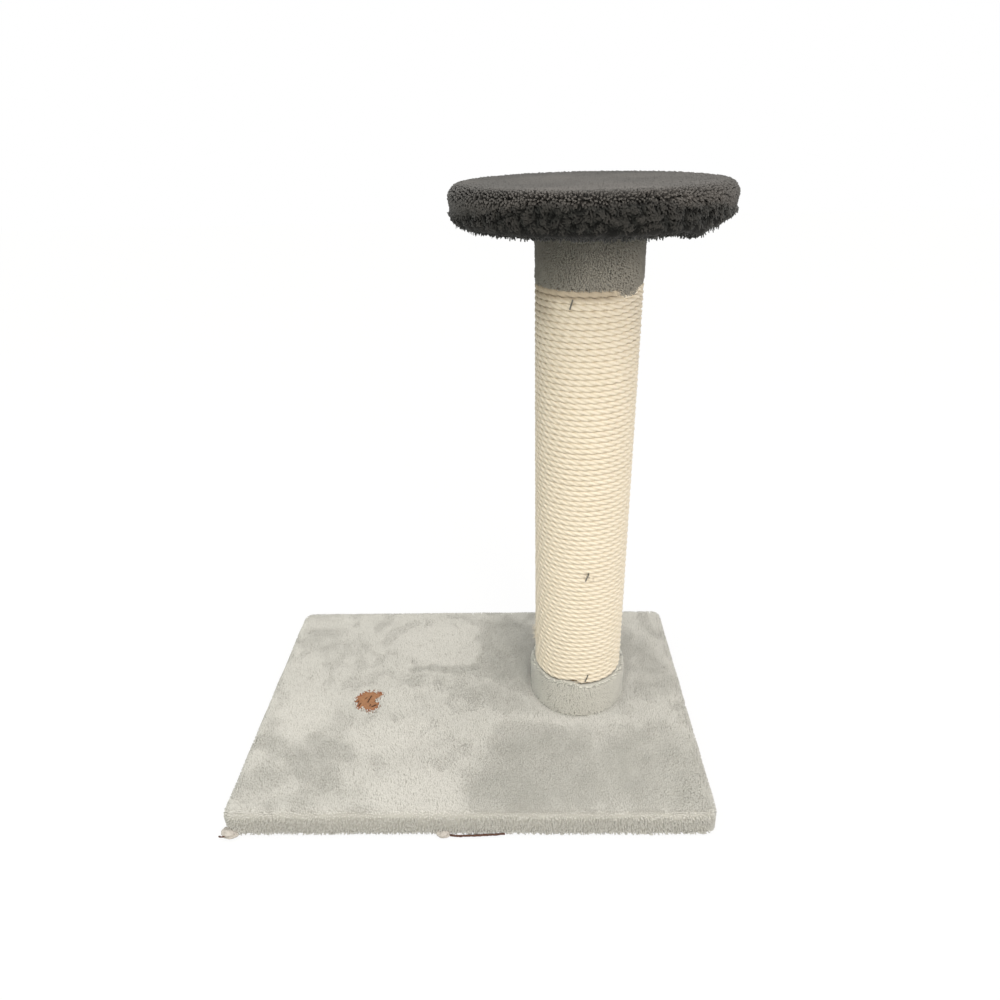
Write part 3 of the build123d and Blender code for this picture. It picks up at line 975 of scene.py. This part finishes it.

# folds of the carpet, its sewn edge, and a painted gap shadow beside the corner fold, which show
# at floor level under the front
tuckSettings = {
    "folds": [
        # name, x, y, half length, half depth, height, turn (millimetres, degrees)
        ("cornerFold", -278.0, -194.5, 11.0, 7.5, 11.0, -6),
        ("frontFold", -29.0, -194.5, 8.0, 6.0, 8.0, 4),
    ],
    "strips": [
        # name, places along it, half width (millimetres)
        ("frontEdgeStrip", [(-22, -196.0, 3.0), (-12, -197.2, 2.6), (-4, -197.0, 3.4), (6, -197.2, 3.6),
                            (18, -196.8, 4.2), (30, -196.6, 4.6), (42, -195.6, 4.8)], 1.2),
        # a dark strip where the gap beside the corner fold is in shade: painted gap shadow
        ("cornerEdgeStrip", [(-290.5, -197.5, 3.0), (-288.0, -199.5, 4.4), (-285.0, -200.8, 6.2),
                             (-281.5, -200.6, 7.6)], 0.8),
    ],
}


def makeFold(name, x, y, long, deep, high, turn):
    # a rounded tongue of folded cloth with a crease along it
    bm = bmesh.new()
    bmesh.ops.create_uvsphere(bm, u_segments=36, v_segments=20, radius=1.0)
    for vert in bm.verts:
        a, b, c = vert.co
        crease = 0.22 * math.exp(-((c - 0.15 - 0.25 * a) / 0.12) ** 2)
        swell = 1 + 0.20 * wander((a, b, c), 0.7, long) + 0.12 * wander((a, b, c), 0.25, deep) - crease
        vert.co = Vector((a * long * swell, b * deep * swell, (c * 0.5 + 0.5) * high * swell)) * mm
        vert.co.z = max(vert.co.z, 0.0) + 0.25 * mm
    bmesh.ops.rotate(bm, verts=bm.verts[:], cent=(0, 0, 0),
                     matrix=Matrix.Rotation(math.radians(turn), 3, "Z"))
    bmesh.ops.translate(bm, verts=bm.verts[:], vec=(x * mm, y * mm, 0))
    bmesh.ops.recalc_face_normals(bm, faces=bm.faces[:])
    place(meshFrom(bm, name), name, materials["folded_back"])


def makeStrip(name, places, halfWidth):
    curve = nurbs(name, [(x * mm, y * mm, z * mm) for x, y, z in places], 8)
    curve.bevel_depth = halfWidth * mm
    curve.bevel_resolution = 2
    curve.use_fill_caps = True
    mesh = baked(addObject(name, curve), name)
    for vert in mesh.vertices:
        vert.co += vert.normal * 0.4 * mm * wander(vert.co, 2.5 * mm)
        vert.co.z = max(vert.co.z, 0.3 * mm)
    mesh.shade_smooth()
    place(mesh, name, materials["edge_thread"])


for fold in tuckSettings["folds"]:
    makeFold(*fold)
for strip in tuckSettings["strips"]:
    makeStrip(*strip)
print("worn spot and folds made")


collarSettings = {
    "lower": {"node": "lower_collar", "pile": 5.8 * mm, "back": 5.0 * mm, "flat": (0.38, 0.055),
              "seed": 21, "material": "low_collar", "droop": -0.1},
    "upper": {"node": "upper_collar", "pile": 5.2 * mm, "back": 1.5 * mm, "flat": (0.345, 0.07),
              "seed": 22, "material": "high_collar", "droop": -0.35},
    "tuft": {"sides": 3, "widths": [0.5 * mm, 0.92 * mm], "bend": 0.5 * mm, "seed": 5},
    "pile": {"gap": 1.25 * mm, "stray": 0.15, "comb": 0.6, "spin": 1.5, "uneven": 0.9, "soft": 0.85},
    "seam": 90.0,                # the seam is at the back
    "halfGap": 0.35,
}


def makeCollar(key, s, tufts):
    mine, upper = s[key], key == "upper"
    low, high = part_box(mine["node"])
    outer = (high.x - low.x) / 2
    wide = outer - mine["pile"]
    top, foot = high.z, low.z + (0.0 if upper else -2.0 * mm)
    if upper:
        narrow = 58.3 * mm - mine["pile"]
        profile = [(narrow - 0.6 * mm, foot + 0.8 * mm), (narrow, foot + 3 * mm),
                   (narrow, foot + 34 * mm), (wide, top)]
        rounds = ()
    else:
        profile = [(wide, foot), (wide, top - 3.2 * mm), (tubeRadius + 3.2 * mm, top - 1.6 * mm)]
        rounds = ((1, 1.6 * mm),)
    bm = spun(profile, 120, rounds, s["seam"] + s["halfGap"], 360 - 2 * s["halfGap"], 3.5 * mm)
    rows = []
    for vert in bm.verts:
        angle = math.atan2(vert.co.y, vert.co.x)
        bearing = math.degrees(angle)
        z = vert.co.z
        spot = (0.05 * math.cos(angle), 0.05 * math.sin(angle), z)
        out = Vector((math.cos(angle), math.sin(angle), 0))
        vert.co += out * 0.5 * mm * wander(spot, 0.03, mine["seed"])
        nap = 0.5 + 0.15 * wander(spot, 0.03, 3) + 0.1 * wander(spot, 0.01, 5)
        grow, droop = 1.0, mine["droop"]
        tall = mine["pile"] * (1 + 0.12 * wander(spot, 0.012, 9))
        if upper:
            # painted shade: darker towards the platform above it and on the left, lighter on the front
            # right where the key light falls
            nap += 0.45 - 0.8 * (z - foot) / (top - foot) + 0.35 * math.cos(angle + 0.6)
            edge = smoothStep(6 * mm, 1 * mm, abs(z - foot))
            droop -= 0.5 * edge
            # its edge sags into the gap where the rope's first turn drops under its start
            sag = smoothStep(-66, -57, bearing) * smoothStep(-26, -44, bearing)
            vert.co.z -= 6.0 * mm * sag * smoothStep(24 * mm, 0, z - foot)
            vert.co += out * 1.6 * mm * sag * edge
        else:
            # painted light: lighter on the left, where less of the key light falls
            nap += 0.45 * max(0.0, -math.cos(angle))
            if z > top - 3.0 * mm and math.hypot(vert.co.x, vert.co.y) < wide - 1.0 * mm:
                grow = 0.0
            tall *= 1 - 0.6 * smoothStep(3.5 * mm, 1.5 * mm, top - z)
            # its edge stands up into the gap that the rope's end leaves under the turn above
            lift = smoothStep(-128, -112, bearing) * smoothStep(-90, -97, bearing)
            vert.co.z += 4.0 * mm * lift * smoothStep(20 * mm, 3 * mm, top - z)
        lean = Vector((0.3 * wander(spot, 0.015, 1), 0.3 * wander(spot, 0.015, 2), droop))
        # tip 0.12: the cloth under the tufts takes most of the root's painted shade
        rows.append((nap, 0.12, grow, tall, lean))
        vert.co.x += postAxis.x
        vert.co.y += postAxis.y
    mesh = clothFrom(bm, key + "CollarCloth", rows)
    pile = growPile(key + "CollarPile", mesh, tufts, dict(s["pile"], seed=mine["seed"]),
                    materials[mine["material"]])
    skin = place(setBack(mesh, mine["back"]), key + "Collar", materials["pale_plush"],
                 [mine["node"]])


collarTufts = makeTufts("collarBunch", collarSettings["tuft"])
for key in ("lower", "upper"):
    makeCollar(key, collarSettings, collarTufts)
print("collars made")


platformSettings = {
    "edgePadding": 7.0 * mm,     # the cloth's thick ground, round the board's edge
    "underPadding": 11.0 * mm,
    "padding": 4.9 * mm,         # over the board's top
    "rimPuff": 0.4 * mm,         # the top stands a little higher round its rim
    "hemRadius": 62.5 * mm,
    "clump": 9.5 * mm,           # the long pile gathers in clumps of about this width
    "clumpRows": (1 * mm, 9 * mm, 17 * mm, 25 * mm),
    "clumpSwell": 2.6 * mm,
    "hang": 5 * mm,              # one clump hangs down
    "tight": 6 * mm,             # at the right end the lower rim is pulled up by this much
    "topPile": 8.5 * mm,
    "sidePile": 4.0 * mm,
    "underPile": 4.0 * mm,
    "lock": {"sides": 3, "widths": [0.6 * mm, 1.0 * mm, 0.8 * mm], "bend": 2.5 * mm, "seed": 8},
    "plush": {"sides": 3, "widths": [0.7 * mm, 1.2 * mm], "bend": 1.5 * mm, "seed": 9,
              "rootTone": 0.62},
    "top": {"gap": 1.36 * mm, "seed": 31, "stray": 0.12, "comb": 1.0, "spin": 0.5, "uneven": 0.9,
            "soft": 0.94},
    "side": {"gap": 1.22 * mm, "seed": 32, "stray": 0.35, "comb": 0.7, "spin": 1.2, "uneven": 0.8,
             "soft": 0.7},
    "under": {"gap": 2.0 * mm, "seed": 33, "stray": 0.25, "comb": 0.3, "spin": 3.0, "uneven": 0.7,
              "soft": 0.5},
}


def clumpTree(s, wide, under):
    # clumps: each point of the pile leans to the nearest of these
    centres = []
    for ring, height in enumerate(s["clumpRows"]):
        count = int(2 * math.pi * wide / s["clump"])
        for i in range(count):
            angle = 2 * math.pi * (i + 0.5 * ring) / count + 0.06 * wander((i * 1.3, ring, 0.5), 1.0)
            lift = 4 * mm * wander((i * 1.7, ring * 3, 5.5), 1.0)
            centres.append((wide * math.cos(angle), wide * math.sin(angle), under + height + lift))
    tree = kdtree.KDTree(len(centres))
    for i, centre in enumerate(centres):
        tree.insert(centre, i)
    tree.balance()
    return tree


def makePlatformCloth(s):
    wide = (plateHigh.x - plateLow.x) / 2 + s["edgePadding"]
    top, under = plateHigh.z + s["padding"], plateLow.z - s["underPadding"]
    profile = [(0, top), (wide, top), (wide, under), (s["hemRadius"], under)]
    bm = spun(profile, 300, ((1, 10 * mm), (2, 11 * mm)), fine=3.0 * mm)
    clumps = clumpTree(s, wide, under)
    rows = []
    for vert in bm.verts:
        x, y, z = vert.co
        up = vert.normal.z
        radius = math.hypot(x, y)
        out = Vector((x, y, 0)).normalized() if radius > 1e-6 else Vector((0, 0, 0))
        angle = math.atan2(y, x)
        # the smooth top laps over the rim, further down at the two ends than in front
        lap = (7 + 16 * math.cos(angle) ** 4 + 4 * wander((x, y, 0), 0.03, 5)) * mm
        topShare = smoothStep(top - lap, top - lap + 8 * mm, z) if up > -0.3 else 0.0
        topShare = max(topShare, smoothStep(0.7, 0.93, up))
        side = 1 - topShare
        near, index, far = clumps.find(vert.co)
        toClump = (near - vert.co) / s["clump"]
        clumped = smoothStep(0.75, 0.15, far / s["clump"])
        if up < -0.5:
            # the gathered margin: folds that run in towards the post
            fold = math.sin(angle * 26 + 2 * wander((x, y, 0), 0.05))
            vert.co.z -= 0.8 * mm * fold * smoothStep(wide, s["hemRadius"], radius)
        # painted sheen on the top: the flattened nap looks lighter there than on the sides
        topSheen = 0.72 + 0.3 * wander((x, y, 0), 0.05, 3) + 0.2 * wander((x * 0.3, y, 0), 0.012, 6)
        topSheen += 0.2 * smoothStep(-0.09, -0.125, y)     # lighter along the front
        topSheen -= 0.25 * smoothStep(-0.04, -0.12, x)     # and darker at the left end
        topSheen -= 0.4 * smoothStep(0.03, 0.12, y)        # and darker on the far side
        # painted shade on the sides: darker down between the clumps, lighter on them
        rough = -0.1 + 0.15 * wander((x, y, z), 0.03, 4) + 0.45 * clumped
        # tip: painted shade at the roots, more on the sides than on the top
        nap, tip = topShare * topSheen + side * rough, 0.05 + 0.3 * topShare
        tall = topShare * s["topPile"] + side * s["sidePile"] * (0.8 + 0.35 * clumped)
        if up < 0:
            tall *= 0.5
        if up < -0.6:
            tall = s["underPile"] * (0.65 + 0.3 * wander((x, y, 0), 0.01, 2))
        flow = Vector((0.25 * wander((x, y, 0), 0.05, 8), -0.45, 0)) * max(up, 0)
        flow = (flow + Vector((0, 0, -2.2)) * (1 - max(up, 0))) * topShare
        lean = toClump * 1.2 + Vector((0, 0, -0.25)) + Vector(
            [wander((x, y, z), 0.01, seed) for seed in (1, 2, 3)]) * 0.9
        if up < -0.2:
            # pressed flat and inwards where it turns under
            lean = out * -2.2 + Vector((wander((x, y, 0), 0.02, 1), wander((x, y, 0), 0.02, 2), 0)) * 0.6
        zone = 0.0 if up < -0.6 else 1.0 if topShare < 0.5 else 2.0
        rows.append((nap, tip, 1.0, tall, flow + lean * side, zone))
        if up > 0:
            vert.co.z += s["rimPuff"] * smoothStep(wide - 45 * mm, wide - 12 * mm, radius) * up
        tight = smoothStep(-0.8, -0.25, angle) * smoothStep(1.3, 0.5, angle)
        tight *= smoothStep(under + 16 * mm, under, z) * smoothStep(wide - 40 * mm, wide - 8 * mm, radius)
        vert.co.z += s["tight"] * tight
        atRim = 1.0 if up > -0.6 else smoothStep(wide - 40 * mm, wide - 15 * mm, radius)
        vert.co += vert.normal * s["clumpSwell"] * (clumped - 0.3) * side * atRim
        hang = peak(angle, -0.86, 0.07) * (up < 0.5) * smoothStep(under + 14 * mm, under, z)
        vert.co.z -= s["hang"] * hang * atRim
        vert.co.x += plushMiddle.x
        vert.co.y += plushMiddle.y
    return clothFrom(bm, "platformCloth", rows, ("nap", "tip", "grow", "tall", "lean", "zone"))


platformCloth = makePlatformCloth(platformSettings)
locks = makeTufts("longLock", platformSettings["lock"])
plushTufts = makeTufts("plushBunch", platformSettings["plush"])
for number, (part, bunches) in enumerate((("under", locks), ("side", locks), ("top", plushTufts))):
    growPile("platformPile" + part.capitalize(), platformCloth, bunches,
                                 platformSettings[part], materials["dark_pile"],
                                 zone=number)
platformSkin = place(setBack(platformCloth, 3.5 * mm), "platformCover",
                     materials["dark_plush"], ["platform_cover"])
for group in bpy.data.collections[:]:
    if group.name.endswith(("Bunch", "Lock")):
        for thing in group.objects[:]:
            discard(thing)
        bpy.data.collections.remove(group)
print("platform made")
